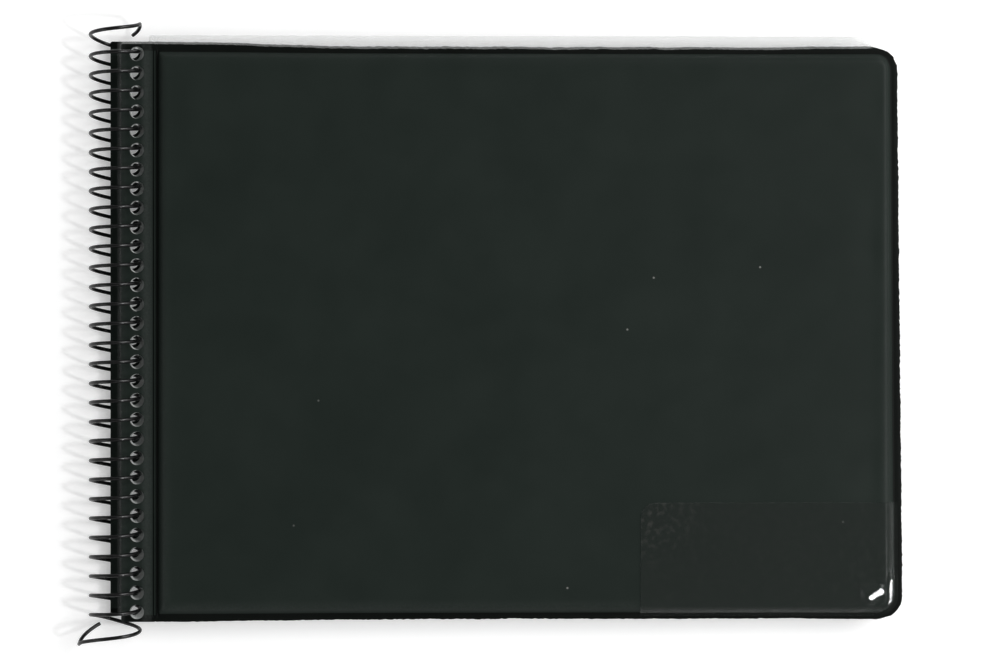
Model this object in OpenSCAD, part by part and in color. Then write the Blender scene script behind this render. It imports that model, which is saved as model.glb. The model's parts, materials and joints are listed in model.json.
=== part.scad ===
// Marching band flip folder: two heat-sealed vinyl covers and a stack of clear music sleeves,
// bound along the left edge by one spiral of black coated wire.
// X runs from the binding to the free edge, Y to the top edge, Z up from the back cover.
// The origin is the middle of the back cover's resting face. Sizes are in millimetres.

/* [Binding] */
// Number of holes along the binding edge of each leaf
hole_count = 30; // [12:1:36]
// Distance from one hole to the next
hole_pitch = 5.08; // [4.8:0.01:6]
// Diameter of the punched holes
hole_d = 3.8; // [3.6:0.05:4.2]
// Inside diameter of the coil
coil_inner_d = 12; // [11.5:0.1:15]
// Diameter of the coated wire
wire_d = 1; // [0.8:0.05:1.1]
// How far each loop leans along the binding, so that a leaf turns over without dragging
loop_lean = 0.55; // [0.45:0.05:0.8]
// Height of the coil above the surface that the folder lies on
coil_lift = 0.1; // [0.05:0.05:0.5]
// How far the first loop is pulled up past the top edge
top_tail_rise = 1.6; // [0:0.1:4]
// How far the last loop is pulled down past the bottom edge
bottom_tail_drop = 2.1; // [0:0.1:4]
// How far the last loop is bent out to the left
bottom_tail_out = 3; // [0:0.1:4]
// Arc of the hook that ends the coil at the top, in degrees
top_hook_arc = 52; // [20:1:70]
// Arc of the hook that ends the coil at the bottom, in degrees
bottom_hook_arc = 60; // [20:1:70]
// Gap between a hook and the ends of the leaves
hook_gap = 0.5; // [0.3:0.1:1.5]

/* [Covers] */
// Width of a cover's stiff panel, from its crease to its free edge
panel_w = 197; // [150:1:230]
// From the middle of an end hole to the top or bottom edge of a cover
end_margin = 2.6; // [2.4:0.1:6]
// Corner radius at the free edge
cover_corner_r = 6.5; // [5:0.5:12]
// Thickness of one layer of cover vinyl
vinyl_t = 0.35; // [0.25:0.05:0.5]
// Thickness of the board inside a cover
board_t = 1.7; // [1.2:0.1:2.2]
// Width of the welded flange around the board
flange_w = 2; // [1.5:0.1:3.5]
// Width of the flange beside the crease
crease_flange_w = 1.3; // [1.2:0.1:3]
// How far the vinyl slopes inwards as it climbs over the board
shoulder_run = 1.2; // [0.6:0.1:2]
// Gap between the edge of the board and the sloping vinyl
board_gap = 0.2; // [0.1:0.05:0.6]
// From the middle of the holes to the binding edge of the front cover
front_edge_margin = 4.1; // [3:0.1:5]
// From the middle of the holes to the crease of the front cover
front_crease_margin = 4.9; // [4:0.1:8]
// From the middle of the holes to the binding edge of the back cover
back_edge_margin = 5.65; // [3:0.05:6]
// From the middle of the holes to the crease of the back cover
back_crease_margin = 5.95; // [5:0.05:8]
// How far a cover hangs back from the middle of its holes
cover_pull = 0.6; // [0:0.05:0.7]
// Width of the pressed line on each side of a crease
crease_line_w = 0.5; // [0.3:0.1:0.8]
// Depth of the pressed line on each side of a crease
crease_line_depth = 0.15; // [0.05:0.05:0.2]
// From a crease to its pressed lines
crease_line_inset = 0.4; // [0.2:0.1:0.6]

/* [Sleeves] */
// Number of clear sleeves
sleeve_count = 10; // [4:1:12]
// Thickness of one clear sheet
sheet_t = 0.2; // [0.15:0.01:0.25]
// Air gap between neighbouring leaves
leaf_gap = 0.1; // [0.08:0.01:0.15]
// From the middle of the holes to the binding edge of a sleeve
sleeve_edge_margin = 4.3; // [3:0.1:4.3]
// How far a sleeve hangs back from the middle of its holes
sleeve_pull = 0.4; // [0:0.05:0.5]
// Gap between the coil and the tall part of a sleeve
sleeve_coil_gap = 1.6; // [1:0.1:4]
// How far the punched edge of a sleeve stands above the cover
sleeve_strip_over = 0.7; // [0:0.1:1.5]
// How far the tall part of a sleeve stands above the cover
sleeve_top_over = 2.4; // [0:0.1:5]
// How far the bottom of a sleeve stops short of the cover's bottom edge
sleeve_bottom_inset = 1.5; // [0:0.1:5]
// How far a sleeve stops short of the front cover's free edge
sleeve_right_inset = 7; // [2:0.5:15]
// Corner radius of a sleeve at its free edge
sleeve_corner_r = 3; // [1:0.5:8]

/* [Label pocket] */
// Width of the clear label pocket
pocket_w = 68; // [40:1:100]
// Height of the clear label pocket
pocket_h = 30.5; // [20:0.5:60]
// Thickness of the label pocket's sheet
pocket_t = 0.25; // [0.15:0.05:0.4]
// Room for a card between the pocket and the cover
pocket_gap = 0.1; // [0.05:0.05:0.4]
// From the cover's edge to the pocket's welded edge
pocket_weld_inset = 0.9; // [0.4:0.1:1.3]
// Radius of the pocket's free corner
pocket_corner_r = 4; // [1:0.5:10]

/* [Hidden] */
$fn = 48;
SLEEVES = [for (k = [1:sleeve_count]) k];

VINYL_BLACK = [0.13, 0.155, 0.15];
BOARD_GREY = [0.52, 0.47, 0.4];
WIRE_BLACK = [0.03, 0.03, 0.03];
CLEAR_VINYL = [0.86, 0.9, 0.92, 0.4];

// The coil stands on the surface, and the covers and sleeves pile up inside it from the back
strip_t = 2 * vinyl_t;
cover_t = strip_t + board_t;
sleeve_t = 2 * sheet_t;
sleeve_pitch = sleeve_t + leaf_gap;
front_z = cover_t + leaf_gap + sleeve_count * sleeve_pitch;
coil_r = (coil_inner_d + wire_d) / 2;
coil_outer_r = coil_r + wire_d / 2;
coil_z = coil_outer_r + coil_lift;
ring_step = 20;
wire_sides = 6;
// The wire is drawn in straight lengths, whose middles lie inside its true circle
coil_inner_r = coil_r * cos(ring_step / 2) - wire_d / 2;

// Along the binding
first_hole_y = (hole_count - 1) * hole_pitch / 2;
half_h = first_hole_y + end_margin;

// Share of the wire's travel along the binding that lies on the closed side of a hole.
// The back cover keeps its side of the coil, so its holes need little of that travel.
back_share = 0.2;
front_share = 0.4;
sleeve_share = 0.5;

// Where the wire crosses a leaf that lies between the heights z0 and z1
function far_h(z0, z1) = max(abs(z0 - coil_z), abs(z1 - coil_z));
function near_h(z0, z1) =
    z0 < coil_z && z1 > coil_z ? 0 : min(abs(z0 - coil_z), abs(z1 - coil_z));
function reach(r, h) = sqrt(r * r - h * h);
function crossing_x(z0, z1) =
    (reach(coil_inner_r, far_h(z0, z1)) + reach(coil_outer_r, near_h(z0, z1))) / 2;
function crossing_angle(z0, z1) = asin(((z0 + z1) / 2 - coil_z) / coil_r);

// The wire's place along the binding at angle a, and the middle of a leaf's holes under it
function wire_y(a) = -hole_pitch * a / 360 - loop_lean * cos(a);
function row_at(a, share) = wire_y(a) - share * (wire_y(a) - wire_y(a + 180));
function row_y(z0, z1, share) = row_at(crossing_angle(z0, z1), share);

// Back cover, whose panel is centred on the origin
back_crease_x = -panel_w / 2;
back_hole_x = back_crease_x - back_crease_margin;
back_row_y = row_y(board_t, cover_t, back_share);
coil_x = back_hole_x - crossing_x(board_t, cover_t);

// Front cover
front_hole_x = coil_x + crossing_x(front_z, front_z + strip_t) - cover_pull;
front_crease_x = front_hole_x + front_crease_margin;
front_y = row_y(front_z, front_z + strip_t, front_share) - back_row_y;

// Sleeves, counted from the front
function sleeve_name(k, side) = str("sleeve_", k < 10 ? "0" : "", k, "_", side);
function sleeve_z(k) = cover_t + leaf_gap + (sleeve_count - k) * sleeve_pitch;
function sleeve_hole_x(k) = coil_x + crossing_x(sleeve_z(k), sleeve_z(k) + sleeve_t) - sleeve_pull;
function sleeve_y(k) = row_y(sleeve_z(k), sleeve_z(k) + sleeve_t, sleeve_share) - back_row_y;
sleeve_pocket_x = coil_x + coil_outer_r + sleeve_coil_gap;
sleeve_right_x = front_crease_x + panel_w - sleeve_right_inset;
lowest_leaf_y = min(front_y, min([for (k = SLEEVES) sleeve_y(k)]));

// Coil: one turn of angle per hole, with a spare loop and a hook at each end
top_end_a = -360;
bottom_end_a = 360 * hole_count + 180;
top_hook_y = half_h + sleeve_strip_over + hook_gap + wire_d / 2;
bottom_hook_y = -half_h + lowest_leaf_y - hook_gap - wire_d / 2;
// Extra reach of the end loops where the leaves run far past their end holes
loop_room = hole_pitch - (wire_y(0) - wire_y(180)) - wire_d / 2 - hook_gap;
end_stretch = max(0, end_margin + sleeve_strip_over - loop_room);

function ease(t) = t <= 0 ? 0 : t >= 1 ? 1 : t * t * (3 - 2 * t);
function mix(a, b, t) = a + (b - a) * t;
function tail(t) = t <= 0 ? 0 : t * t;
function body_y(a) =
    first_hole_y - back_row_y + wire_y(a)
    + end_stretch * (ease((-90 - a) / 90) - ease((a - 360 * hole_count + 150) / 90))
    + top_tail_rise * tail((-180 - a) / 180)
    - bottom_tail_drop * tail((a - 360 * hole_count) / 180);
function coil_y(a) =
    a < top_end_a ? mix(body_y(top_end_a), top_hook_y, (top_end_a - a) / top_hook_arc)
    : a > bottom_end_a ? mix(body_y(bottom_end_a), bottom_hook_y, (a - bottom_end_a) / bottom_hook_arc)
    : body_y(a);
function coil_point(a) = [
    coil_x + (coil_r + bottom_tail_out * ease((a - 360 * hole_count) / 180)) * cos(a),
    coil_y(a),
    coil_z + coil_r * sin(a)
];
function unit(v) = v / norm(v);
function coil_ring(a) =
    let (
        along = unit(coil_point(a + 1) - coil_point(a - 1)),
        out = unit(cross([0, 1, 0], along)),
        side = cross(along, out)
    )
    [for (j = [0:wire_sides - 1])
        let (turn = 360 * j / wire_sides)
        coil_point(a) + wire_d / 2 * (cos(turn) * out + sin(turn) * side)];

// A rectangle with round corners, from straight sides and true arcs
module rounded_rect(x0, x1, y0, y1, r) {
    translate([x0 + r, y0]) square([x1 - x0 - 2 * r, y1 - y0]);
    translate([x0, y0 + r]) square([x1 - x0, y1 - y0 - 2 * r]);
    for (x = [x0 + r, x1 - r], y = [y0 + r, y1 - r]) translate([x, y]) circle(r);
}

// A rectangle whose right-hand corners are round
module leaf_outline(x0, x1, y0, y1, r) {
    translate([x0, y0]) square([x1 - x0 - r, y1 - y0]);
    translate([x0, y0 + r]) square([x1 - x0, y1 - y0 - 2 * r]);
    for (y = [y0 + r, y1 - r]) translate([x1 - r, y]) circle(r);
}

module hole_row(x) {
    for (i = [0:hole_count - 1]) translate([x, first_hole_y - i * hole_pitch]) circle(d = hole_d);
}

// A cover is drawn from its crease, with its inner face at z = 0 and its outer face upwards
module place_front() {
    translate([front_crease_x, front_y, front_z]) children();
}

module place_back() {
    translate([back_crease_x, 0, cover_t]) mirror([0, 0, 1]) children();
}

// The raised block that the vinyl makes over the board: slopes on four sides, grown by g all round
module raised_block(g) {
    top = cover_t + g;
    slope_shift = g * norm([shoulder_run, board_t]) / board_t;
    function inset(z) = shoulder_run * (z - strip_t) / board_t - slope_shift;
    x0 = crease_flange_w;
    x1 = panel_w - flange_w;
    y1 = half_h - flange_w;
    intersection() {
        linear_extrude(top)
            rounded_rect(x0 + inset(0), x1 - inset(0), -y1 + inset(0), y1 - inset(0),
                         cover_corner_r - flange_w);
        translate([panel_w / 2, 0, 0]) rotate([90, 0, 90]) linear_extrude(2 * panel_w, center = true)
            polygon([[-y1 + inset(0), 0], [y1 - inset(0), 0], [y1 - inset(top), top], [-y1 + inset(top), top]]);
        rotate([90, 0, 0]) linear_extrude(4 * half_h, center = true)
            polygon([[x0 + inset(0), 0], [x1 - inset(0), 0], [x1 - inset(top), top], [x0 + inset(top), top]]);
    }
}

module pressed_line(x) {
    translate([x - crease_line_w / 2, -2 * half_h, strip_t - crease_line_depth])
        cube([crease_line_w, 4 * half_h, strip_t]);
}

module cover_skin() {
    difference() {
        union() {
            translate([0, 0, vinyl_t]) linear_extrude(vinyl_t)
                leaf_outline(0, panel_w, -half_h, half_h, cover_corner_r);
            raised_block(0);
        }
        raised_block(-vinyl_t);
        translate([-panel_w, -2 * half_h, -vinyl_t]) cube([3 * panel_w, 4 * half_h, strip_t]);
        pressed_line(crease_line_inset);
    }
}

module cover_board() {
    edge = shoulder_run + board_gap;
    translate([0, 0, vinyl_t]) linear_extrude(board_t)
        rounded_rect(crease_flange_w + edge + vinyl_t, panel_w - flange_w - edge - vinyl_t,
                     -half_h + flange_w + edge + vinyl_t, half_h - flange_w - edge - vinyl_t,
                     cover_corner_r - flange_w);
}

module cover_lining() {
    linear_extrude(vinyl_t) leaf_outline(0, panel_w, -half_h, half_h, cover_corner_r);
}

module binding_strip(edge_margin, crease_margin) {
    difference() {
        linear_extrude(strip_t) difference() {
            translate([-crease_margin - edge_margin, -half_h]) square([crease_margin + edge_margin, 2 * half_h]);
            hole_row(-crease_margin);
        }
        pressed_line(-crease_line_inset);
    }
}

module back_cover_skin() {
    color(VINYL_BLACK) place_back() cover_skin();
}

module back_cover_board() {
    color(BOARD_GREY) place_back() cover_board();
}

module back_cover_lining() {
    color(VINYL_BLACK) place_back() cover_lining();
}

module back_binding_strip() {
    color(VINYL_BLACK) place_back() binding_strip(back_edge_margin, back_crease_margin);
}

module front_binding_strip() {
    color(VINYL_BLACK) place_front() binding_strip(front_edge_margin, front_crease_margin);
}

module front_cover_lining() {
    color(VINYL_BLACK) place_front() cover_lining();
}

module front_cover_board() {
    color(BOARD_GREY) place_front() cover_board();
}

module front_cover_skin() {
    color(VINYL_BLACK) place_front() cover_skin();
}

// A clear sheet laid over the panel's lower right corner and welded to its flange
module front_label_pocket() {
    x1 = panel_w - pocket_weld_inset;
    y0 = -half_h + pocket_weld_inset;
    weld_corner_r = cover_corner_r - pocket_weld_inset;
    color(CLEAR_VINYL) place_front() difference() {
        intersection() {
            union() {
                raised_block(pocket_gap + pocket_t);
                translate([panel_w / 2, -half_h, strip_t]) cube([panel_w / 2, half_h, pocket_t]);
            }
            linear_extrude(2 * cover_t) intersection() {
                leaf_outline(0, x1, y0, half_h, weld_corner_r);
                rounded_rect(x1 - pocket_w, x1 + pocket_w, y0 - pocket_h, y0 + pocket_h, pocket_corner_r);
            }
        }
        raised_block(pocket_gap);
        translate([0, -2 * half_h, -cover_t]) cube([2 * panel_w, 4 * half_h, cover_t + strip_t]);
    }
}

// A low punched edge that passes under the coil, and a tall pocket beside it
module clear_sheet(k) {
    x0 = sleeve_hole_x(k) - sleeve_edge_margin;
    y0 = -half_h + sleeve_bottom_inset;
    y1 = half_h + sleeve_strip_over;
    linear_extrude(sheet_t) difference() {
        union() {
            translate([x0, -half_h]) square([sleeve_pocket_x - x0, y1 + half_h]);
            translate([x0, y0]) square([sleeve_right_x - sleeve_corner_r - x0, y1 - y0]);
            leaf_outline(sleeve_pocket_x, sleeve_right_x, y0, half_h + sleeve_top_over, sleeve_corner_r);
        }
        hole_row(sleeve_hole_x(k));
    }
}

module sleeve_front(k) {
    color(CLEAR_VINYL) translate([0, sleeve_y(k), sleeve_z(k) + sheet_t]) clear_sheet(k);
}

module sleeve_back(k) {
    color(CLEAR_VINYL) translate([0, sleeve_y(k), sleeve_z(k)]) clear_sheet(k);
}

// One unbroken wire, swept as rings of points that are joined by triangles
module binding_coil() {
    first_a = top_end_a - top_hook_arc;
    last_a = bottom_end_a + bottom_hook_arc;
    steps = ceil((last_a - first_a) / ring_step);
    angles = [for (i = [0:steps]) first_a + (last_a - first_a) * i / steps];
    middles = [for (a = angles) coil_point(a)];
    half_turn = ceil(180 / ring_step);
    least_gap = min([for (i = [0:steps - half_turn], j = [i + half_turn:steps])
        norm(middles[i] - middles[j])]) - wire_d;
    echo(str("least gap of the coil to itself: ", least_gap, " mm"));
    n = wire_sides;
    sides = [for (i = [0:steps - 1], j = [0:n - 1])
        let (a = i * n + j, b = i * n + (j + 1) % n)
        each [[a, b, a + n], [b, b + n, a + n]]];
    ends = [for (j = [1:n - 2]) each [[0, j + 1, j], [steps * n, steps * n + j, steps * n + j + 1]]];
    color(WIRE_BLACK) polyhedron([for (a = angles) each coil_ring(a)], concat(sides, ends));
}

back_cover_skin();
back_cover_board();
back_cover_lining();
back_binding_strip();
binding_coil();
for (k = SLEEVES) {
    sleeve_front(k);
    sleeve_back(k);
}
front_binding_strip();
front_cover_lining();
front_cover_board();
front_cover_skin();
front_label_pocket();
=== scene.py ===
import json
import math

import bmesh
import bpy
from mathutils import Matrix, Vector, noise


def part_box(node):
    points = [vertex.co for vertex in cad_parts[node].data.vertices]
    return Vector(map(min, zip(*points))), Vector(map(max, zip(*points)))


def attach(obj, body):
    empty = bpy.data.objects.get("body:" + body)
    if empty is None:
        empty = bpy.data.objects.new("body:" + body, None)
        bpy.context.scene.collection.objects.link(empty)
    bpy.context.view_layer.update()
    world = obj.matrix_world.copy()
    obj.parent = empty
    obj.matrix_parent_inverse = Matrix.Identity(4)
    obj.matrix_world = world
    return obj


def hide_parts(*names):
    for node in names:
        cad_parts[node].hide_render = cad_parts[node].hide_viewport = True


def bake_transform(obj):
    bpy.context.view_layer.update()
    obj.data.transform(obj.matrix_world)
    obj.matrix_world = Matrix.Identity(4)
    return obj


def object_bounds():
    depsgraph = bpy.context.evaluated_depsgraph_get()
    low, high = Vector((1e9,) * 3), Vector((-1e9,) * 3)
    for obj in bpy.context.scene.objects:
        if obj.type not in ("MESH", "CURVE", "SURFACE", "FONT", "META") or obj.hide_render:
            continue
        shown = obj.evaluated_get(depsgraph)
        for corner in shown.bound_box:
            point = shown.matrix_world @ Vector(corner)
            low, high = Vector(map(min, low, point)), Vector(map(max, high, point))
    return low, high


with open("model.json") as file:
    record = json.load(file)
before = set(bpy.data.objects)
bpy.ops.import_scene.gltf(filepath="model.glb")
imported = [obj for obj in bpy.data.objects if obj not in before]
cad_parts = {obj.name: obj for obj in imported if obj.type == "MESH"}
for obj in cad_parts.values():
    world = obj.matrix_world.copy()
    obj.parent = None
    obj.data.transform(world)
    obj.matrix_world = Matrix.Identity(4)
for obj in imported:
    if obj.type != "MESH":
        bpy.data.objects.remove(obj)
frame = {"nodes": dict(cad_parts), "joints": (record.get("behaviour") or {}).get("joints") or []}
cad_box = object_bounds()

# Cover boards
# Stiff grey chipboard, die-cut with round corners, one lying in each cover.
# Only the vinyl that is welded shut around a board holds it, so it never shows.
MM = 0.001
CHIPBOARD_DARK = (0.20, 0.165, 0.125, 1)
CHIPBOARD_LIGHT = (0.33, 0.285, 0.225, 1)
CHIPBOARD_FIBRE = 0.9 * MM
CHIPBOARD_RELIEF = 0.05 * MM


def new_finish(name):
    """A material and its shader."""
    material = bpy.data.materials.new(name)
    material.use_nodes = True
    return material, material.node_tree.nodes["Principled BSDF"]


def add_node(material, kind, inputs, **settings):
    """A node whose inputs are fed by numbers, colours or the outputs of other nodes."""
    made = material.node_tree.nodes.new(kind)
    for key, value in settings.items():
        setattr(made, key, value)
    for key, value in inputs.items():
        feed(material, value, made.inputs[key])
    return made


def feed(material, value, socket):
    """Links a socket to another node's output, or sets it to a number or a colour."""
    if isinstance(value, bpy.types.NodeSocket):
        material.node_tree.links.new(value, socket)
    else:
        socket.default_value = value


def object_place(material):
    """Where a point lies, in its object's own coordinates."""
    return add_node(material, "ShaderNodeTexCoord", {}).outputs["Object"]


def speckle(material, place, grain, detail=2.0, roughness=0.5):
    """Noise from 0 to 1 whose blotches are about grain metres across."""
    values = {"Vector": place, "Scale": 1 / grain, "Detail": detail, "Roughness": roughness}
    return add_node(material, "ShaderNodeTexNoise", values).outputs["Fac"]


def between(material, factor, low, high, start=0.0, end=1.0):
    """A number that runs from low to high as the factor goes from start to end."""
    values = {"Value": factor, "From Min": start, "From Max": end, "To Min": low, "To Max": high}
    return add_node(material, "ShaderNodeMapRange", values).outputs["Result"]


def tint(material, factor, first, second):
    """A colour between two others."""
    mix = add_node(material, "ShaderNodeMix", {}, data_type="RGBA")
    feed(material, factor, mix.inputs["Factor"])
    feed(material, first, mix.inputs[6])
    feed(material, second, mix.inputs[7])
    return mix.outputs[2]


def relief(material, height, depth, under=None):
    """A bump of that depth in metres, on top of another bump."""
    values = {"Height": height, "Strength": 1.0, "Distance": depth}
    if under is not None:
        values["Normal"] = under
    return add_node(material, "ShaderNodeBump", values).outputs["Normal"]


chipboard, shader = new_finish("grey_chipboard")
place = object_place(chipboard)
fibres = speckle(chipboard, place, CHIPBOARD_FIBRE, detail=4.0)
feed(chipboard, tint(chipboard, fibres, CHIPBOARD_DARK, CHIPBOARD_LIGHT), shader.inputs["Base Color"])
feed(chipboard, between(chipboard, fibres, 0.8, 0.95), shader.inputs["Roughness"])
feed(chipboard, relief(chipboard, fibres, CHIPBOARD_RELIEF), shader.inputs["Normal"])
for side in ("back", "front"):
    for slot in frame["nodes"][f"{side}_cover_board"].material_slots:
        slot.material = chipboard

# Cover linings
# A flat sheet of black vinyl on the inside of each cover, welded to the skin all round the board.
# Its cut edge is a little ragged and drawn in between the corners; it has extra cuts beside the crease and
# is thinner where the crease's groove presses into it.
CORNER_R = 6.5 * MM
INNER_CORNER_R = 2.5 * MM
CREASE_CORNER_R = 0.3 * MM
CORNER_STEPS = 8
LONG_STEPS = 330
SHORT_STEPS = 256
RAGGED = 0.26 * MM
RAGGED_FINE = 0.9 * MM
RAGGED_SLOW = 9 * MM
RAGGED_SLOW_SHARE = 0.7
RAGGED_INSET = 0.2 * MM
RAGGED_FROM_X = 0.5 * MM
TOP_DRAWN_IN = 1.2 * MM
BOTTOM_DRAWN_IN = 0.6 * MM
DRAWN_REACH = 2.6 * MM
DRAWN_REACH_SHARE = 0.8
DRAWN_FULL = 0.3
DRAWN_EASES = 0.8
DRAWN_EASED_SHARE = 0.35
ASKEW = 0.75 * MM
ASKEW_FROM = 0.97
WELD_Z = 0.70 * MM
GROOVE_X = 0.70 * MM
GROOVE_DEPTH = 0.34 * MM
GROOVE_HALF_W = 0.40 * MM
GROOVE_WALL_W = 0.22 * MM
PRESSED_X = -0.55 * MM
PRESSED_DEPTH = 0.20 * MM
PRESSED_HALF_W = 0.24 * MM
PRESSED_WALL_W = 0.2 * MM
ROLLED_DEPTH = 0.16 * MM
ROLLED_BAND = (-3.1 * MM, 1.5 * MM, 0.0, 0.5 * MM)
CREASE_END = 0.9 * MM
SKIN_WEB = 0.08 * MM
BEND_W = 2.0 * MM
BEND_CUTS = 8
VINYL_DARK = (0.0124, 0.0178, 0.0151, 1)
VINYL_LIGHT = (0.0151, 0.0211, 0.0180, 1)
# The weld colours are painted shade: far darker than the panel's vinyl, standing in for the shade of the
# low welds and the crease groove.
WELD_SHADE_DARK = (0.0030, 0.0040, 0.0034, 1)
WELD_SHADE_LIGHT = (0.0046, 0.0058, 0.0050, 1)
WEAR_AND_SHEEN_GREY = (0.052, 0.058, 0.055, 1)
DUST = (0.16, 0.165, 0.155, 1)
DUST_SPACING = 17 * MM
CLOUD = 16 * MM
HANDLED = 10 * MM
HANDLED_RELIEF = 0.015 * MM
LINT = 0.5 * MM
PORE = 0.35 * MM
PORE_RELIEF = 0.012 * MM

lining_low, lining_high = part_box("front_cover_lining")
panel_w = lining_high.x - lining_low.x
half_h = (lining_high.y - lining_low.y) / 2
vinyl_t = lining_high.z - lining_low.z


def cover_frame(side):
    """A cover's own frame: its crease along Y at x = 0, its inner face at z = 0 and its outside up."""
    low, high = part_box(f"{side}_cover_lining")
    middle_y = (low.y + high.y) / 2
    if side == "front":
        return Matrix.Translation((low.x, middle_y, low.z))
    return Matrix.Translation((low.x, middle_y, high.z)) @ Matrix.Scale(-1, 4, (0, 0, 1))


def ease(t):
    """A smooth step from 0 to 1."""
    t = min(max(t, 0.0), 1.0)
    return t * t * (3 - 2 * t)


def swell(t, start, rise, end, fall):
    """A smooth hump: up to 1 over a rise from start, and down again over a fall from end."""
    return ease((t - start) / rise) * (1 - ease((t - end) / fall))


def crease_dip(x, y):
    """How deep the creasing tool has pressed the vinyl: a groove, a fine line, and a band rolled down."""
    groove = GROOVE_DEPTH * ease((GROOVE_HALF_W - abs(x - GROOVE_X)) / GROOVE_WALL_W)
    line = PRESSED_DEPTH * ease((PRESSED_HALF_W - abs(x - PRESSED_X)) / PRESSED_WALL_W)
    rolled = ROLLED_DEPTH * swell(x, *ROLLED_BAND)
    return (max(groove, line) + rolled) * ease((half_h - abs(y) - CREASE_END) / CREASE_END)


def lining_top(x, y):
    """Where the lining meets the skin, which the creasing tool leaves as a thin web over it."""
    return min(vinyl_t, WELD_Z - crease_dip(x, y) - SKIN_WEB)


def settle(point):
    """Moves a point of the panel as the weld draws the vinyl in and the trim wanders."""
    along = point.x / panel_w
    eased = ease((along - DRAWN_EASES) / (1 - DRAWN_EASES))
    drawn = ease(along / DRAWN_FULL) - DRAWN_EASED_SHARE * eased
    across = point.y / half_h
    pull = TOP_DRAWN_IN if across > 0 else BOTTOM_DRAWN_IN
    inside = ease((half_h - abs(point.y)) / DRAWN_REACH)
    point.y -= pull * drawn * across * (1 - DRAWN_REACH_SHARE * inside)
    point.x -= ASKEW * across * ease((along - ASKEW_FROM) / (1 - ASKEW_FROM))


def roughen(point, outward):
    """Frays a trimmed edge: a point moves along outward by a fine and a longer wave."""
    fine = noise.noise(point / RAGGED_FINE)
    slow = noise.noise(point / RAGGED_SLOW)
    return point + outward * RAGGED * (fine + RAGGED_SLOW_SHARE * slow)


def panel_ring(inset, crease_inset, left_r, height):
    """Points of a closed loop round the panel, with round corners, frayed where it is the cut edge."""
    right = panel_w - inset
    half = half_h - inset
    right_r = max(CORNER_R - inset, INNER_CORNER_R)
    corners = (
        (right - right_r, half - right_r, right_r),
        (crease_inset + left_r, half - left_r, left_r),
        (crease_inset + left_r, left_r - half, left_r),
        (right - right_r, right_r - half, right_r),
    )
    steps = (LONG_STEPS, SHORT_STEPS, LONG_STEPS, SHORT_STEPS)
    arcs = []
    for quarter, (x, y, r) in enumerate(corners):
        turns = [math.radians(90 * (quarter + i / CORNER_STEPS)) for i in range(CORNER_STEPS + 1)]
        arcs.append([Vector((x + r * math.cos(a), y + r * math.sin(a), height)) for a in turns])
    points = []
    for quarter, turned in enumerate(arcs):
        points += turned
        goal = arcs[(quarter + 1) % 4][0]
        points += [turned[-1].lerp(goal, i / steps[quarter]) for i in range(1, steps[quarter])]
    if inset < RAGGED_INSET:
        middle = Vector((panel_w / 2, 0, height))
        points = [roughen(p, (p - middle).normalized()) if p.x > RAGGED_FROM_X else p for p in points]
    return points


def closed_loop(bm, points):
    """Edges from point to point, back to the first."""
    ends = [bm.verts.new(p) for p in points]
    return [bm.edges.new((ends[i - 1], ends[i])) for i in range(len(ends))]


def thicken(bm, faces, thickness):
    """Draws a flat sheet up to that thickness."""
    raised = bmesh.ops.extrude_face_region(bm, geom=faces)["geom"]
    lifted = [v for v in raised if isinstance(v, bmesh.types.BMVert)]
    bmesh.ops.translate(bm, vec=(0, 0, thickness), verts=lifted)


def cut_across(bm, place, direction, clear_outer=False):
    """Cuts a whole mesh along a plane, and may take away what lies beyond it."""
    everything = bm.verts[:] + bm.edges[:] + bm.faces[:]
    bmesh.ops.bisect_plane(bm, geom=everything, plane_co=place, plane_no=direction, clear_outer=clear_outer)


def add_piece(name, bm, material, smooth_under=35):
    """A mesh object at the origin, smooth except where faces meet at a sharper angle."""
    mesh = bpy.data.meshes.new(name)
    bm.to_mesh(mesh)
    bm.free()
    mesh.polygons.foreach_set("use_smooth", [True] * len(mesh.polygons))
    mesh.set_sharp_from_angle(angle=math.radians(smooth_under))
    mesh.materials.append(material)
    made = bpy.data.objects.new(name, mesh)
    bpy.context.scene.collection.objects.link(made)
    return made


def bend_at_crease(piece):
    """Moves a piece's placement into its mesh and leaves the object at the origin."""
    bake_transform(piece)


def product(material, first, second):
    """Two numbers multiplied."""
    values = {0: first, 1: second}
    return add_node(material, "ShaderNodeMath", values, operation="MULTIPLY").outputs["Value"]


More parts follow.
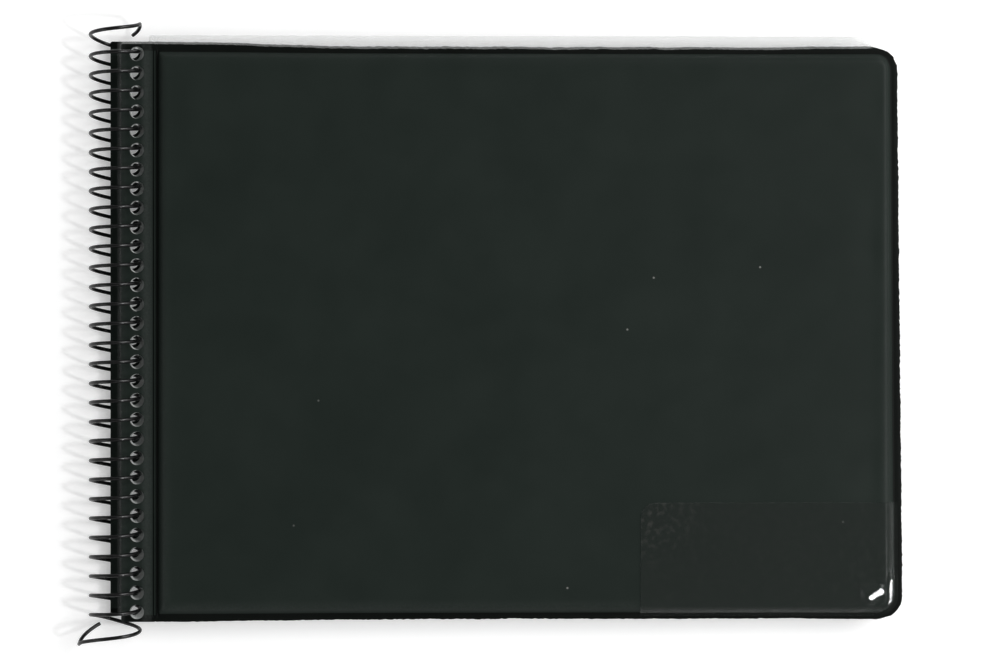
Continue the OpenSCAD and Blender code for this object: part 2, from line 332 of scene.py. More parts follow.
def vinyl_finish(name, dark, light, smoothest, shine):
    """Black vinyl: cloudy colour, fine pores, a few specks of dust, and a paler grey along marked edges,
    partly wear from handling and partly a painted highlight.
    """
    material, shader = new_finish(name)
    place = object_place(material)
    clouds = speckle(material, place, CLOUD, detail=3.0)
    pores = speckle(material, place, PORE, detail=1.0)
    handling = speckle(material, place, HANDLED, detail=2.0)
    edge = add_node(material, "ShaderNodeAttribute", {}, attribute_name="wear_and_sheen").outputs["Fac"]
    lint = speckle(material, place, LINT, detail=2.0)
    wear_and_sheen = product(material, edge, between(material, lint, 0.4, 1.0, start=0.4, end=0.7))
    spread = {"Vector": place, "Scale": 1 / DUST_SPACING}
    cells = add_node(material, "ShaderNodeTexVoronoi", spread, voronoi_dimensions="2D")
    near_speck = between(material, cells.outputs["Distance"], 1.0, 0.0, start=0.012, end=0.02)
    chosen = between(material, cells.outputs["Color"], 0.0, 1.0, start=0.80, end=0.82)
    speck = product(material, near_speck, chosen)
    colour = tint(material, between(material, clouds, 0, 1, start=0.3, end=0.7), dark, light)
    # Paler grey where the edge mark is set: worn vinyl mixed with a painted sheen.
    colour = tint(material, between(material, wear_and_sheen, 0.0, 0.4), colour, WEAR_AND_SHEEN_GREY)
    feed(material, tint(material, speck, colour, DUST), shader.inputs["Base Color"])
    gloss = between(material, handling, smoothest, smoothest + 0.06, start=0.3, end=0.7)
    dulled = between(material, wear_and_sheen, 0.0, 0.08)
    gloss = add_node(material, "ShaderNodeMath", {0: gloss, 1: dulled}).outputs["Value"]
    feed(material, gloss, shader.inputs["Roughness"])
    grain = relief(material, pores, PORE_RELIEF)
    feed(material, relief(material, handling, HANDLED_RELIEF, under=grain), shader.inputs["Normal"])
    shader.inputs["Specular IOR Level"].default_value = shine
    return material


black_vinyl = vinyl_finish("black_vinyl", VINYL_DARK, VINYL_LIGHT, smoothest=0.38, shine=0.10)
# Pressed vinyl for the welds, the crease groove and the strip ends is painted much darker than the panel:
# painted shade for these low places.
shaded_pressed_vinyl = vinyl_finish("shaded_pressed_vinyl", WELD_SHADE_DARK, WELD_SHADE_LIGHT, smoothest=0.42, shine=0.06)

for side in ("back", "front"):
    bm = bmesh.new()
    rim = closed_loop(bm, panel_ring(0, 0, CREASE_CORNER_R, 0))
    sheet = bmesh.ops.edgeloop_fill(bm, edges=rim)["faces"]
    thicken(bm, sheet, vinyl_t)
    for i in range(1, BEND_CUTS):
        cut_across(bm, (BEND_W * i / BEND_CUTS, 0, 0), (1, 0, 0))
    for vert in bm.verts:
        if vert.co.z > 0:
            vert.co.z = lining_top(vert.co.x, vert.co.y)
        settle(vert.co)
    bmesh.ops.transform(bm, matrix=cover_frame(side), verts=bm.verts)
    bmesh.ops.recalc_face_normals(bm, faces=bm.faces)
    lining = add_piece(f"{side}_lining_sheet", bm, black_vinyl)
    bend_at_crease(lining)
    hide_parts(f"{side}_cover_lining")

# Cover skins
# Black vinyl drawn over the board and heat-sealed to the lining around it.
# From the cut edge it runs across a flat weld, up a soft shoulder and over a slightly crowned panel.
WELD_PROFILE = (
    # millimetres inside the cut edge, millimetres inside the crease
    (0.00, 0.00),
    (0.12, 0.10),
    (0.45, 0.20),
    (1.10, 0.32),
    (1.60, 0.45),
    (1.90, 0.60),
)
WELD_NARROWER = 1.3 * MM
WELD_DROOP = 0.08 * MM
WELD_DROOP_W = 0.3 * MM
WELD_DARK_RISE = 0.12 * MM
SHOULDER_RUN = 3.4 * MM
SHOULDER_STEPS = 14
SHOULDER_STEEPNESS = 2.2
SHOULDER_CORNER_R = 2.2 * MM
SHOULDER_SHEEN_BAND = (2.4 * MM, 1.0 * MM, 3.6 * MM, 2.6 * MM)
WEAR_AND_SHEEN_AT_TOP = 0.15
SHEEN_MORE_BELOW = 0.45
PANEL_Z = 2.40 * MM
PANEL_INSETS_MM = (5.9, 6.5, 7.5, 8.5, 10.0, 12.0, 15.0)
PUCKER = 0.10 * MM
PUCKER_L = 14 * MM
PUCKER_SINK = 0.7
PUCKER_BAND = (4.5 * MM, 3.0 * MM, 8.0 * MM, 7.0 * MM)
TOUCHING = 0.001 * MM
SHADED_SLOT = 1


def wrap(bm, rings):
    """A surface through closed loops that have the same number of points."""
    around = len(rings[0])
    along = len(rings) - 1
    bmesh.ops.create_grid(bm, x_segments=around, y_segments=along, size=0.5)
    for vert in bm.verts:
        row = round((vert.co.y + 0.5) * along)
        step = round((vert.co.x + 0.5) * around) % around
        vert.co = rings[row][step]
    bmesh.ops.remove_doubles(bm, verts=bm.verts, dist=TOUCHING)


def skin_surface(bm, first_inset=0.0):
    """The outer face of a cover skin, from an inset in the weld to the middle of the panel."""
    rows = [(edge * MM, crease * MM, CREASE_CORNER_R, WELD_Z) for edge, crease in WELD_PROFILE]
    foot, foot_crease = rows[-1][:2]
    rows = [row for row in rows if row[0] >= first_inset]
    for i in range(1, SHOULDER_STEPS + 1):
        t = i / SHOULDER_STEPS
        rise = (1 - math.cos(math.pi * (1 - (1 - t) ** SHOULDER_STEEPNESS))) / 2
        height = WELD_Z + (PANEL_Z - WELD_Z) * rise
        left_r = CREASE_CORNER_R + (SHOULDER_CORNER_R - CREASE_CORNER_R) * t
        rows.append((foot + SHOULDER_RUN * t, foot_crease + SHOULDER_RUN * t, left_r, height))
    for inset in PANEL_INSETS_MM:
        rows.append((inset * MM, inset * MM - WELD_NARROWER, SHOULDER_CORNER_R, PANEL_Z))
    wrap(bm, [panel_ring(*row) for row in rows])
    middle = [e for e in bm.edges if e.is_boundary and e.verts[0].co.z > PANEL_Z - TOUCHING]
    bmesh.ops.edgeloop_fill(bm, edges=middle)
    # The low weld faces take the second slot, the darker pressed vinyl: painted shade at the foot of the
    # shoulder.
    for face in bm.faces:
        if max(v.co.z for v in face.verts) < WELD_Z + WELD_DARK_RISE:
            face.material_index = SHADED_SLOT
    # Along the top of the shoulder the colour is marked paler, more towards the bottom edge: a painted
    # highlight where the shoulder rounds over, mixed with wear from handling.
    wear_and_sheen = bm.verts.layers.float.new("wear_and_sheen")
    for vert in bm.verts:
        x, y = vert.co.xy
        outer = min(panel_w - x, half_h - abs(y))
        inset = min(outer, x + WELD_NARROWER)
        lower = WEAR_AND_SHEEN_AT_TOP + SHEEN_MORE_BELOW * ease(0.5 - 0.5 * y / half_h)
        vert[wear_and_sheen] = lower * swell(inset, *SHOULDER_SHEEN_BAND)
        puckered = noise.noise(Vector((x, y, 0)) / PUCKER_L) - PUCKER_SINK
        vert.co.z += PUCKER * swell(inset, *PUCKER_BAND) * puckered
        droop = WELD_DROOP * (1 - ease(outer / WELD_DROOP_W)) * ease(x / MM)
        vert.co.z -= crease_dip(x, y) + droop
        settle(vert.co)
    bm.normal_update()
    turned_under = [f for f in bm.faces if f.normal.z < 0]
    bmesh.ops.reverse_faces(bm, faces=turned_under)


for side in ("back", "front"):
    bm = bmesh.new()
    skin_surface(bm)
    bmesh.ops.solidify(bm, geom=bm.faces[:], thickness=vinyl_t)
    for vert in bm.verts:
        vert.co.z = max(vert.co.z, lining_top(vert.co.x, vert.co.y))
    bmesh.ops.transform(bm, matrix=cover_frame(side), verts=bm.verts)
    bmesh.ops.recalc_face_normals(bm, faces=bm.faces)
    skin = add_piece(f"{side}_skin_sheet", bm, black_vinyl)
    skin.data.materials.append(shaded_pressed_vinyl)
    bend_at_crease(skin)
    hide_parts(f"{side}_cover_skin")

# Binding strips
# The edge of each cover where skin and lining are welded to one flat band, beside the crease.
# Thirty round holes are punched through it for the coil.
HOLE_COUNT = 30
HOLE_PITCH = 5.08 * MM
HOLE_R = 1.9 * MM
HOLE_SIDES = 28
CREASE_MARGIN = {"back": 5.95 * MM, "front": 4.9 * MM}
STRIP_CORNER_R = 0.5 * MM
STRIP_SOFTENED = 0.08 * MM
STRIP_RIM_ANGLE = math.radians(60)
STRIP_BAND_W = 0.4 * MM
STRIP_DARK_DEPTH = 0.08 * MM
STRIP_PALE_BAND = (-3.8 * MM, 0.6 * MM, -1.2 * MM, 0.4 * MM)
CUT_EDGE_RUBBED_W = 0.5 * MM
CUT_EDGE_RUBBED_FADE = 0.8 * MM
CREASE_CUT = 0.1 * MM
CREASE_ZONE = 3.4 * MM
STRIP_END_W = 1.8 * MM
STRIP_END_CUTS = 6


def punched_sheet(outline, low_z, high_z, hole_x, hole_y, band_w, band_finish=0, seam=()):
    """A flat sheet with a row of holes, its middle at hole_y, a band round each hole, and a seam."""
    bm = bmesh.new()
    border = closed_loop(bm, [Vector((x, y, low_z)) for x, y in outline])
    if seam:
        welded = closed_loop(bm, [Vector((x, y, low_z)) for x, y in seam])
        bmesh.ops.contextual_create(bm, geom=welded)
        border += welded
    widen = 1 + band_w / HOLE_R
    for i in range(HOLE_COUNT):
        middle = Vector((hole_x, hole_y + (i - (HOLE_COUNT - 1) / 2) * HOLE_PITCH, low_z))
        place = Matrix.Translation(middle)
        hole = bmesh.ops.create_circle(bm, segments=HOLE_SIDES, radius=HOLE_R, matrix=place)["verts"]
        rim = list({e for v in hole for e in v.link_edges})
        band = bmesh.ops.extrude_edge_only(bm, edges=rim)["geom"]
        outer = [v for v in band if isinstance(v, bmesh.types.BMVert)]
        bmesh.ops.scale(bm, vec=(widen, widen, 1), space=place.inverted(), verts=outer)
        border += [e for e in band if isinstance(e, bmesh.types.BMEdge) and set(e.verts) <= set(outer)]
    for face in bm.faces:
        face.material_index = band_finish
    bmesh.ops.triangle_fill(bm, use_beauty=True, edges=border)
    thicken(bm, bm.faces[:], high_z - low_z)
    bmesh.ops.recalc_face_normals(bm, faces=bm.faces)
    return bm


def arc(x, y, r, start, end, steps=6):
    """Points round a corner, from one angle to another in degrees."""
    turns = [math.radians(start + (end - start) * i / steps) for i in range(steps + 1)]
    return [(x + r * math.cos(a), y + r * math.sin(a)) for a in turns]


for side in ("back", "front"):
    low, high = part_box(f"{side}_binding_strip")
    strip_w = high.x - low.x
    strip_t = high.z - low.z
    r = STRIP_CORNER_R
    end_r = CREASE_CORNER_R
    outline = arc(r - strip_w, half_h - r, r, 90, 180) + arc(r - strip_w, r - half_h, r, 180, 270)
    outline += arc(-end_r, end_r - half_h, end_r, 270, 360) + arc(-end_r, half_h - end_r, end_r, 0, 90)
    bm = punched_sheet(outline, 0, strip_t, -CREASE_MARGIN[side], 0, STRIP_BAND_W)
    sharp = [e for e in bm.edges if e.calc_face_angle(0) > STRIP_RIM_ANGLE]
    rims = [e for e in sharp if abs(e.verts[0].co.x) > TOUCHING]
    bmesh.ops.bevel(
        bm, geom=rims, offset=STRIP_SOFTENED, segments=2, profile=0.5, affect="EDGES", material=-1,
        clamp_overlap=True)
    for i in range(1, round(CREASE_ZONE / CREASE_CUT) + 1):
        cut_across(bm, (-CREASE_CUT * i, 0, 0), (1, 0, 0))
    for i in range(1, STRIP_END_CUTS + 1):
        end_y = half_h - STRIP_END_W * i / STRIP_END_CUTS
        cut_across(bm, (0, end_y, 0), (0, 1, 0))
        cut_across(bm, (0, -end_y, 0), (0, 1, 0))
    # The top of the strip is marked paler in a band beside the crease and along its cut edge.
    wear_and_sheen = bm.verts.layers.float.new("wear_and_sheen")
    for vert in bm.verts:
        x, y, z = vert.co
        if z > strip_t / 2:
            cut_edge = 1 - ease((x + strip_w - CUT_EDGE_RUBBED_W) / CUT_EDGE_RUBBED_FADE)
            vert[wear_and_sheen] = max(swell(x, *STRIP_PALE_BAND), cut_edge)
            vert.co.z -= crease_dip(x, y)
    # Faces pressed deep into the crease, and the welded bands at the strip's ends, take the darker pressed
    # vinyl: painted shade in the groove, with the same dark colour at the ends.
    for face in bm.faces:
        middle = face.calc_center_median()
        pressed = crease_dip(middle.x, middle.y) > ROLLED_DEPTH + STRIP_DARK_DEPTH
        if pressed or half_h - abs(middle.y) < STRIP_END_W:
            face.material_index = SHADED_SLOT
    bmesh.ops.transform(bm, matrix=cover_frame(side), verts=bm.verts)
    bmesh.ops.recalc_face_normals(bm, faces=bm.faces)
    strip = add_piece(f"{side}_punched_strip", bm, black_vinyl)
    strip.data.materials.append(shaded_pressed_vinyl)
    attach(strip, f"{side}_strip")
    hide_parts(f"{side}_binding_strip")

# Binding coil
# One length of steel wire in a glossy black coating, wound round a mandrel and screwed through the
# holes. Its loops lean a little, and its last loop at each end is pulled out and bent to a hook.
WIRE_R = 0.5 * MM
WIRE_ROUNDNESS = 4
COIL_R = 6.5 * MM
COIL_STEP = 9
LOOP_LEAN = 0.55 * MM
FIRST_LOOP_Y = 73.656 * MM
HALF_TURN = 180
FULL_TURN = 360
LAST_TURN = FULL_TURN * HOLE_COUNT
END_STRETCH = 0.66 * MM
END_STRETCH_ARC = 90
TOP_STRETCH_TURN = -90
TOP_RISE = 1.6 * MM
TOP_HOOK_TURN = -FULL_TURN
TOP_HOOK_Y = 77.96 * MM
TOP_HOOK_ARC = 52
BOTTOM_STRETCH_TURN = LAST_TURN - 150
BOTTOM_DROP = 2.1 * MM
BOTTOM_OUT = 3.0 * MM
BOTTOM_HOOK_TURN = LAST_TURN + HALF_TURN
BOTTOM_HOOK_Y = -78.546 * MM
BOTTOM_HOOK_ARC = 60
COATING = (0.0030, 0.0032, 0.0032, 1)
COATING_WORN = (0.010, 0.0105, 0.0105, 1)
COATING_WEAR = 1.2 * MM
COATING_RELIEF = 0.008 * MM

coil_axis = Vector(next(j["pos_m"] for j in frame["joints"] if j["name"] == "coil_roll"))


def loop_y(turn):
    """How far along the binding the wire has come, at an angle in degrees from the first loop's right."""
    y = FIRST_LOOP_Y - HOLE_PITCH * turn / FULL_TURN - LOOP_LEAN * math.cos(math.radians(turn))
    top = ease((TOP_STRETCH_TURN - turn) / END_STRETCH_ARC)
    bottom = ease((turn - BOTTOM_STRETCH_TURN) / END_STRETCH_ARC)
    y += END_STRETCH * (top - bottom)
    y += TOP_RISE * max((-HALF_TURN - turn) / HALF_TURN, 0) ** 2
    y -= BOTTOM_DROP * max((turn - LAST_TURN) / HALF_TURN, 0) ** 2
    return y


def wire_point(turn):
    """The middle of the wire at an angle in degrees from the first loop's right."""
    if turn < TOP_HOOK_TURN:
        start_y = loop_y(TOP_HOOK_TURN)
        y = start_y + (TOP_HOOK_Y - start_y) * (TOP_HOOK_TURN - turn) / TOP_HOOK_ARC
    elif turn > BOTTOM_HOOK_TURN:
        start_y = loop_y(BOTTOM_HOOK_TURN)
        y = start_y + (BOTTOM_HOOK_Y - start_y) * (turn - BOTTOM_HOOK_TURN) / BOTTOM_HOOK_ARC
    else:
        y = loop_y(turn)
    out = COIL_R + BOTTOM_OUT * ease((turn - LAST_TURN) / HALF_TURN)
    a = math.radians(turn)
    return Vector((coil_axis.x + out * math.cos(a), y, coil_axis.z + COIL_R * math.sin(a)))


black_wire, shader = new_finish("black_wire")
place = object_place(black_wire)
wear = speckle(black_wire, place, COATING_WEAR, detail=3.0)
worn = between(black_wire, wear, 0, 1, start=0.55, end=0.75)
feed(black_wire, tint(black_wire, worn, COATING, COATING_WORN), shader.inputs["Base Color"])
feed(black_wire, between(black_wire, wear, 0.14, 0.28, start=0.3, end=0.7), shader.inputs["Roughness"])
feed(black_wire, relief(black_wire, wear, COATING_RELIEF), shader.inputs["Normal"])
shader.inputs["Specular IOR Level"].default_value = 0.4

path = bpy.data.curves.new("coil_path", "CURVE")
path.dimensions = "3D"
path.bevel_depth = WIRE_R
path.bevel_resolution = WIRE_ROUNDNESS
path.use_fill_caps = True
start_turn = TOP_HOOK_TURN - TOP_HOOK_ARC
end_turn = BOTTOM_HOOK_TURN + BOTTOM_HOOK_ARC
steps = round((end_turn - start_turn) / COIL_STEP)
spline = path.splines.new("POLY")
spline.points.add(steps)
for i, point in enumerate(spline.points):
    point.co = wire_point(start_turn + (end_turn - start_turn) * i / steps).to_4d()
bent_wire = bpy.data.objects.new("coil_path", path)
bpy.context.scene.collection.objects.link(bent_wire)
bpy.context.view_layer.update()
swept = bpy.data.meshes.new_from_object(bent_wire.evaluated_get(bpy.context.evaluated_depsgraph_get()))
bpy.data.objects.remove(bent_wire)
bm = bmesh.new()
bm.from_mesh(swept)
bmesh.ops.remove_doubles(bm, verts=bm.verts, dist=TOUCHING)
bmesh.ops.recalc_face_normals(bm, faces=bm.faces)
coil = add_piece("coil_wire", bm, black_wire, smooth_under=60)
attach(coil, "coil")
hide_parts("binding_coil")

# Clear sleeves
# Ten pockets for sheets of music, each two thin sheets of clear vinyl welded together on three sides.
# A low punched edge passes under the coil, and the tall open end stands out above the cover.
SLEEVE_COUNT = 10
SLEEVE_EDGE_MARGIN = 4.3 * MM
SLEEVE_COIL_GAP = 1.6 * MM
SLEEVE_STRIP_OVER = 0.7 * MM
SLEEVE_BOTTOM_INSET = 1.5 * MM
SLEEVE_CORNER_R = 3.0 * MM
SLEEVE_RIM_BAND_W = 0.7 * MM
SLEEVE_RIM_SLOT = 1
SLEEVE_RIM_GRAIN = 0.6 * MM
SEAM_INSET = 1.6 * MM
SEAM_W = 0.45 * MM
SEAM_END = 4.5 * MM
CLEAR_HAZE = (0.93, 0.95, 0.94, 1)
CLEAR_HAZE_GRAIN = 3 * MM
CLEAR_RIPPLE = 6 * MM
CLEAR_RIPPLE_RELIEF = 0.15 * MM
CLEAR_DRAWN_OUT = (0.16, 1.0, 1.0)

clear_vinyl, shader = new_finish("clear_vinyl")
stretch = {0: object_place(clear_vinyl), 1: CLEAR_DRAWN_OUT}
drawn_out = add_node(clear_vinyl, "ShaderNodeVectorMath", stretch, operation="MULTIPLY").outputs["Vector"]
ripples = speckle(clear_vinyl, drawn_out, CLEAR_RIPPLE, detail=1.0)
haze = speckle(clear_vinyl, drawn_out, CLEAR_HAZE_GRAIN, detail=2.0)
feed(clear_vinyl, CLEAR_HAZE, shader.inputs["Base Color"])
feed(clear_vinyl, between(clear_vinyl, haze, 0.10, 0.22, start=0.3, end=0.7), shader.inputs["Roughness"])
feed(clear_vinyl, between(clear_vinyl, haze, 0.009, 0.017, start=0.3, end=0.7), shader.inputs["Alpha"])
feed(clear_vinyl, relief(clear_vinyl, ripples, CLEAR_RIPPLE_RELIEF), shader.inputs["Normal"])
shader.inputs["Specular IOR Level"].default_value = 1.0
shader.inputs["Coat Weight"].default_value = 1.0
bpy.context.scene.cycles.transparent_max_bounces = 64

whitened, shader = new_finish("clear_vinyl_rim")
haze = speckle(whitened, object_place(whitened), SLEEVE_RIM_GRAIN, detail=2.0)
feed(whitened, CLEAR_HAZE, shader.inputs["Base Color"])
feed(whitened, between(whitened, haze, 0.25, 0.45), shader.inputs["Roughness"])
feed(whitened, between(whitened, haze, 0.42, 0.58, start=0.3, end=0.7), shader.inputs["Alpha"])

pocket_x = coil_axis.x + COIL_R + WIRE_R + SLEEVE_COIL_GAP
for number in range(1, SLEEVE_COUNT + 1):
    for side in ("front", "back"):
        node = f"sleeve_{number:02d}_{side}"
        low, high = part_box(node)
        r = SLEEVE_CORNER_R
        middle_y = low.y + half_h
        shelf_y = middle_y + half_h + SLEEVE_STRIP_OVER
        foot_y = low.y + SLEEVE_BOTTOM_INSET
        outline = [(low.x, low.y), (pocket_x, low.y), (pocket_x, foot_y)]
        outline += arc(high.x - r, foot_y + r, r, 270, 360) + arc(high.x - r, high.y - r, r, 0, 90)
        outline += [(pocket_x, high.y), (pocket_x, shelf_y), (low.x, shelf_y)]
        seam = []
        for inset in (SEAM_INSET, SEAM_INSET + SEAM_W):
            left = pocket_x + inset
            right = high.x - inset
            bottom = foot_y + inset
            top = high.y - SEAM_END
            run = [(left, top), (left, bottom)]
            run += arc(right - r + inset, bottom + r - inset, r - inset, 270, 360)
            run += [(right, top)]
            seam += run if inset == SEAM_INSET else run[::-1]
        hole_x = low.x + SLEEVE_EDGE_MARGIN
        bm = punched_sheet(
            outline, low.z, high.z, hole_x, middle_y, SLEEVE_RIM_BAND_W, SLEEVE_RIM_SLOT, seam)
        sheet = add_piece(f"clear_sheet_{number:02d}_{side}", bm, clear_vinyl)
        sheet.data.materials.append(whitened)
        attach(sheet, f"sleeve_{number:02d}")
        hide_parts(node)

# Label pocket
# A clear vinyl film welded over the front cover's lower right corner, open at its top for a name card.
# It follows the cover's weld, shoulder and panel, a hair above them, and stands off in a puffed fold
# at the corner.
POCKET_WELD_INSET = 0.9 * MM
POCKET_W = 68 * MM
POCKET_H = 30.5 * MM
POCKET_T = 0.25 * MM
POCKET_LIFT = 0.1 * MM
POCKET_CORNER_R = 4.0 * MM
FOLD_MIDDLE = (6.6 * MM, 7.1 * MM)
FOLD_TURN = math.radians(31.5)
FOLD_Z = 3.22 * MM
FOLD_HALF_L = 2.3 * MM
FOLD_HALF_W = 0.95 * MM
FOLD_FALL_ALONG = (0.45, 0.3)
FOLD_FALL_ACROSS = (0.25, 0.5)
PUFF_MIDDLE = (2.6 * MM, 8.0 * MM)
PUFF_Z = 2.62 * MM
PUFF_HALF_L = 4.4 * MM
PUFF_HALF_W = 0.75 * MM
PUFF_SLOPE_X = -0.196
PUFF_SLOPE_Y = 0.040
PUFF_FOOT = 1.9 * MM
PUFF_FOOT_W = 0.24 * MM
PUFF_FADE = 0.8
PUFF_REACH = 4.0 * MM
PUFF_REACH_FADE = 2.0 * MM
PUFF_CUT_FROM = 3.0 * MM
PUFF_CUT = 0.4 * MM
PUFF_CUTS = 28
FILM = (0.029, 0.036, 0.032, 1)
FILM_SCUFFED = (0.090, 0.090, 0.084, 1)
FILM_SCUFF = 1.5 * MM
FILM_WORN_NEAR = 3 * MM
FILM_WORN_FAR = 18 * MM
FILM_RIPPLE = 9 * MM
FILM_RIPPLE_RELIEF = 0.08 * MM
FILM_EDGE_PALE_AND_LIT = (0.34, 0.36, 0.35, 1)
FILM_EDGE_W = 0.16 * MM
FILM_EDGE_NICK = 0.8 * MM
FILM_EDGE_SLOT = 1
FILM_WELD_GRAIN = 2 * MM
FILM_WELD_SLOT = 2

pocket_left = panel_w - POCKET_WELD_INSET - POCKET_W
pocket_top = POCKET_WELD_INSET - half_h + POCKET_H

label_film, shader = new_finish("label_film")
place = object_place(label_film)
ripples = speckle(label_film, place, FILM_RIPPLE, detail=0.5)
rubs = speckle(label_film, place, FILM_SCUFF, detail=4.0)
open_corner = cover_frame("front") @ Vector((pocket_left, pocket_top, PANEL_Z))
from_corner = {0: place, 1: open_corner}
away = add_node(label_film, "ShaderNodeVectorMath", from_corner, operation="DISTANCE").outputs["Value"]
worn = between(label_film, away, 0.8, 0.08, start=FILM_WORN_NEAR, end=FILM_WORN_FAR)
scuffs = product(label_film, between(label_film, rubs, 0.0, 1.0, start=0.5, end=0.68), worn)
feed(label_film, tint(label_film, scuffs, FILM, FILM_SCUFFED), shader.inputs["Base Color"])
feed(label_film, between(label_film, rubs, 0.10, 0.25, start=0.3, end=0.7), shader.inputs["Roughness"])
feed(label_film, relief(label_film, ripples, FILM_RIPPLE_RELIEF), shader.inputs["Normal"])
shader.inputs["Alpha"].default_value = 0.3
shader.inputs["Specular IOR Level"].default_value = 0.2
shader.inputs["Coat Weight"].default_value = 0.7
shader.inputs["Coat Roughness"].default_value = 0.05

# The film's cut edges are pale and half opaque: partly the light a cut edge scatters, partly a painted
# highlight line along the open top and left edges.
film_edge, shader = new_finish("label_film_edge")
nicks = speckle(film_edge, object_place(film_edge), FILM_EDGE_NICK, detail=2.0)
feed(film_edge, FILM_EDGE_PALE_AND_LIT, shader.inputs["Base Color"])
feed(film_edge, between(film_edge, nicks, 0.2, 0.4), shader.inputs["Roughness"])
feed(film_edge, between(film_edge, nicks, 0.15, 0.75, start=0.35, end=0.65), shader.inputs["Alpha"])

film_weld, shader = new_finish("label_film_weld")
fused = speckle(film_weld, object_place(film_weld), FILM_WELD_GRAIN, detail=2.0)
feed(film_weld, FILM, shader.inputs["Base Color"])
feed(film_weld, between(film_weld, fused, 0.40, 0.55), shader.inputs["Roughness"])
feed(film_weld, between(film_weld, fused, 0.06, 0.14, start=0.3, end=0.7), shader.inputs["Alpha"])
shader.inputs["Specular IOR Level"].default_value = 0.1


def facet(distance, half, slope, before, after):
    """Height across a fold: a flat facet with a slope, and how steeply the film falls away beside it."""
    flat = slope * min(max(distance, -half), half)
    return flat - before * max(-half - distance, 0) - after * max(distance - half, 0)


def edge_inset(x, y):
    """How far a point near the cover's lower right corner lies inside the cut edge."""
    right = panel_w - x
    bottom = y + half_h
    if right < CORNER_R and bottom < CORNER_R:
        return CORNER_R - math.hypot(CORNER_R - right, CORNER_R - bottom)
    return min(right, bottom)


def puff_up(point):
    """Lifts the film where it stands off the cover: a slanting fold, and a bulge beside the right weld."""
    x = point.x - panel_w + FOLD_MIDDLE[0]
    y = point.y + half_h - FOLD_MIDDLE[1]
    turn_x = math.cos(FOLD_TURN)
    turn_y = math.sin(FOLD_TURN)
    slope_along = PUFF_SLOPE_X * turn_x + PUFF_SLOPE_Y * turn_y
    slope_across = PUFF_SLOPE_X * turn_y - PUFF_SLOPE_Y * turn_x
    along = facet(x * turn_x + y * turn_y, FOLD_HALF_L, slope_along, *FOLD_FALL_ALONG)
    across = facet(x * turn_y - y * turn_x, FOLD_HALF_W, slope_across, *FOLD_FALL_ACROSS)
    point.z = max(point.z, FOLD_Z + along + across)
    x = point.x - panel_w + PUFF_MIDDLE[0]
    y = point.y + half_h - PUFF_MIDDLE[1]
    inset = edge_inset(point.x, point.y)
    away = math.hypot((inset - PUFF_MIDDLE[0]) / PUFF_HALF_W, y / PUFF_HALF_L)
    share = ease((inset - PUFF_FOOT) / PUFF_FOOT_W) * (1 - ease((away - PUFF_FADE) / PUFF_FADE))
    share *= 1 - ease((panel_w - point.x - PUFF_REACH) / PUFF_REACH_FADE)
    bulge = PUFF_Z + PUFF_SLOPE_X * x + PUFF_SLOPE_Y * y
    point.z += share * max(bulge - point.z, 0)


bm = bmesh.new()
skin_surface(bm, first_inset=POCKET_WELD_INSET)
for face in bm.faces:
    if face.material_index == SHADED_SLOT:
        face.material_index = FILM_WELD_SLOT
cut_across(bm, (pocket_left, 0, 0), (-1, 0, 0), clear_outer=True)
cut_across(bm, (0, pocket_top, 0), (0, 1, 0), clear_outer=True)
corner = min(bm.verts, key=lambda v: (v.co.xy - Vector((pocket_left, pocket_top))).length)
bmesh.ops.bevel(
    bm, geom=[corner], offset=POCKET_CORNER_R, segments=8, profile=0.5, affect="VERTICES", material=-1)
bm.normal_update()
for vert in bm.verts:
    vert.co += vert.normal * (POCKET_LIFT + POCKET_T)
for i in range(PUFF_CUTS):
    cut_across(bm, (panel_w - PUFF_CUT_FROM - PUFF_CUT * i, 0, 0), (1, 0, 0))
    cut_across(bm, (0, PUFF_CUT_FROM - half_h + PUFF_CUT * i, 0), (0, 1, 0))
for vert in bm.verts:
    puff_up(vert.co)
cut_edges = [e for e in bm.edges if e.is_boundary]
bmesh.ops.solidify(bm, geom=bm.faces[:], thickness=POCKET_T)
bmesh.ops.recalc_face_normals(bm, faces=bm.faces)
rounded = bmesh.ops.bevel(
    bm, geom=cut_edges, offset=FILM_EDGE_W, segments=2, profile=0.5, affect="EDGES", material=-1,
    clamp_overlap=True)["faces"]
# Rounded cut edges take the pale edge finish, in part a painted highlight; beside the weld they take the
# fused film.
for face in rounded:
    beside_weld = face.calc_center_median().x >= panel_w - CORNER_R
    face.material_index = FILM_WELD_SLOT if beside_weld else FILM_EDGE_SLOT
bmesh.ops.transform(bm, matrix=cover_frame("front"), verts=bm.verts)
pocket = add_piece("label_film", bm, label_film)
pocket.data.materials.append(film_edge)
pocket.data.materials.append(film_weld)
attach(pocket, "front_panel")
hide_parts("front_label_pocket")

# Table, light and camera
# A white table in a pale room whose ceiling is dim, with a large window at the upper right, a small
# lamp at the lower right, a faint wall at the left, and a camera that looks almost straight down.
TABLE_WHITE = (0.94, 0.94, 0.94, 1)
TABLE_GRAIN = 3 * MM
TABLE_GLOW = 0.26
TABLE_HALF_W = 4.0
TABLE_GAP = 0.02 * MM
WHITE = (1, 1, 1, 1)
WALL_LIGHT = 0.70
WALL_TOP = 0.25
CEILING_LIGHT = 0.13
CEILING_FROM = 0.85
LAMPS = (
    # name, place in metres, width in metres, watts
    ("window", (0.85, 0.42, 0.95), 0.85, 11.8),
    ("lamp", (0.61, -0.24, 0.85), 0.09, 2.6),
    ("wall", (-0.75, -0.45, 0.6), 0.5, 1.4),
)
CAMERA_X = -6.45 * MM
CAMERA_Y = -1.25 * MM
CAMERA_Z = 706 * MM
CAMERA_LEAN = math.radians(1.1)
CAMERA_LENS_MM = 95
CAMERA_SENSOR_MM = 36

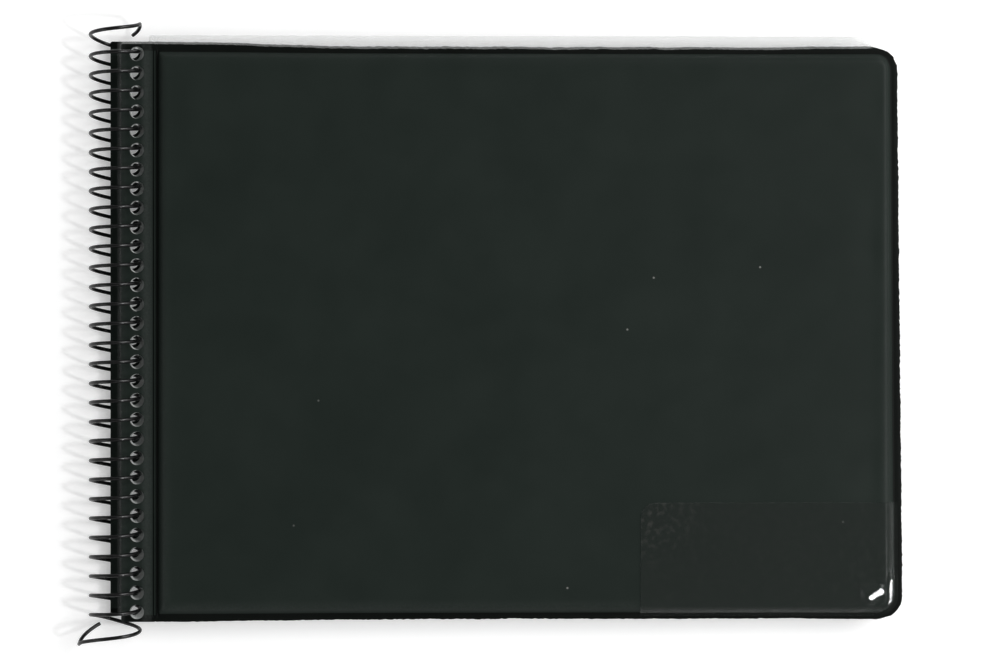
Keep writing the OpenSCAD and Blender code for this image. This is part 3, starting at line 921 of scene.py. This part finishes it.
table_finish, shader = new_finish("white_table")
fibres = speckle(table_finish, object_place(table_finish), TABLE_GRAIN, detail=3.0)
feed(table_finish, TABLE_WHITE, shader.inputs["Base Color"])
feed(table_finish, between(table_finish, fibres, 0.75, 0.9), shader.inputs["Roughness"])
shader.inputs["Specular IOR Level"].default_value = 0.0
shader.inputs["Emission Color"].default_value = WHITE
seen = add_node(table_finish, "ShaderNodeLightPath", {}).outputs["Is Camera Ray"]
feed(table_finish, between(table_finish, seen, 0.0, TABLE_GLOW), shader.inputs["Emission Strength"])
output = table_finish.node_tree.nodes["Material Output"]
see_through = add_node(table_finish, "ShaderNodeBsdfTransparent", {})
below = add_node(table_finish, "ShaderNodeNewGeometry", {}).outputs["Backfacing"]
sides = {0: below, 1: shader.outputs[0], 2: see_through.outputs[0]}
surface = add_node(table_finish, "ShaderNodeMixShader", sides)
feed(table_finish, surface.outputs[0], output.inputs["Surface"])

bm = bmesh.new()
bmesh.ops.create_grid(bm, x_segments=1, y_segments=1, size=TABLE_HALF_W)
bmesh.ops.translate(bm, vec=(0, 0, cad_box[0].z - TABLE_GAP), verts=bm.verts)
table = add_piece("white_table", bm, table_finish)

world = bpy.data.worlds.new("pale_room")
world.use_nodes = True
bpy.context.scene.world = world
background = world.node_tree.nodes["Background"]
direction = add_node(world, "ShaderNodeTexCoord", {}).outputs["Generated"]
upward = add_node(world, "ShaderNodeSeparateXYZ", {"Vector": direction}).outputs["Z"]
room = between(world, upward, WALL_LIGHT, CEILING_LIGHT, start=WALL_TOP, end=CEILING_FROM)
seen = add_node(world, "ShaderNodeLightPath", {}).outputs["Is Camera Ray"]
feed(world, tint(world, seen, room, WHITE), background.inputs["Color"])

for name, lamp_place, width, watts in LAMPS:
    light = bpy.data.lights.new(name, "AREA")
    light.size = width
    light.energy = watts
    lamp = bpy.data.objects.new(name, light)
    lamp.location = lamp_place
    lamp.rotation_euler = (-Vector(lamp_place)).to_track_quat("-Z", "Y").to_euler()
    bpy.context.scene.collection.objects.link(lamp)

camera = bpy.data.objects.new("camera", bpy.data.cameras.new("camera"))
camera.data.lens = CAMERA_LENS_MM
camera.data.sensor_width = CAMERA_SENSOR_MM
camera.location = (CAMERA_X - CAMERA_Z * math.tan(CAMERA_LEAN), CAMERA_Y, CAMERA_Z)
camera.rotation_euler = (0, -CAMERA_LEAN, 0)
bpy.context.scene.collection.objects.link(camera)
bpy.context.scene.camera = camera
bpy.context.scene.view_settings.view_transform = "Standard"
